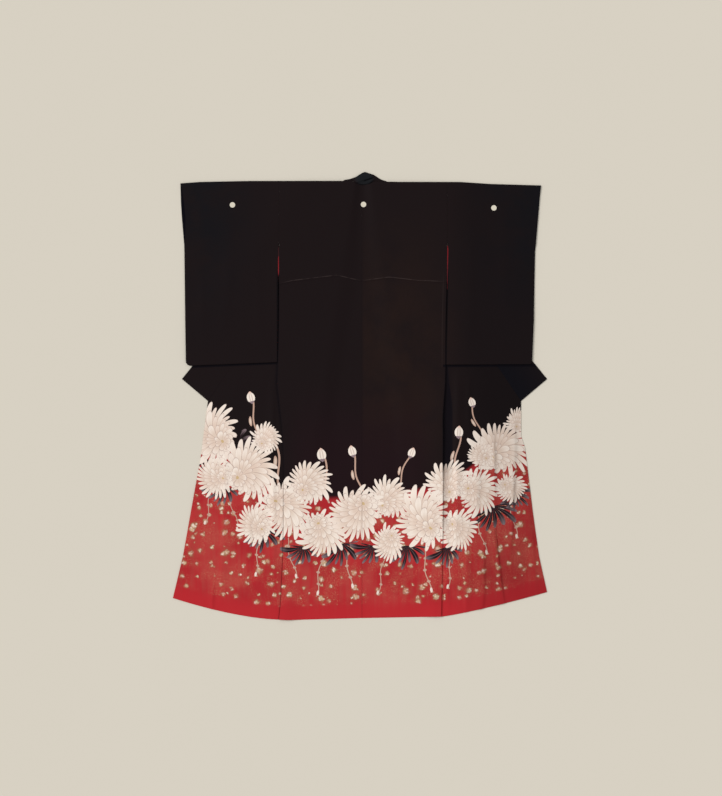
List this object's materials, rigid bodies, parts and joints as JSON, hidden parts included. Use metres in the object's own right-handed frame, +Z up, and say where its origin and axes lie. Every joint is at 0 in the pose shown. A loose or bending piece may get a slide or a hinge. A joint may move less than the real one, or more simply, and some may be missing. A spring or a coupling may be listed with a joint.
{
  "type": "kimono",
  "caption": "Formal lined silk kimono with square sleeves and a dyed hem, laid flat with its back up and the fronts spread out beside it.",
  "frame": {"origin": "on the surface that the garment lies on, under the middle of its outline", "axes": "+X towards the viewer's right sleeve, +Y towards the collar, +Z up, out of the garment's back"},
  "size_m": [1.3506, 1.6176, 0.0132],
  "materials": {
    "dyed_silk": "matte silk crepe, black above, with a dyed red and cream hem",
    "black_silk": "matte black silk crepe",
    "red_lining": "soft plain-woven red silk"
  },
  "bodies": {
    "root": {"back_left": "dyed_silk", "back_right": "dyed_silk", "front_left": "dyed_silk", "front_right": "dyed_silk", "overlap_left": "dyed_silk", "overlap_right": "dyed_silk", "collar": "black_silk", "sleeve_left": "black_silk", "sleeve_right": "black_silk", "sleeve_lining_left": "red_lining", "sleeve_lining_right": "red_lining"}
  },
  "joints": []
}
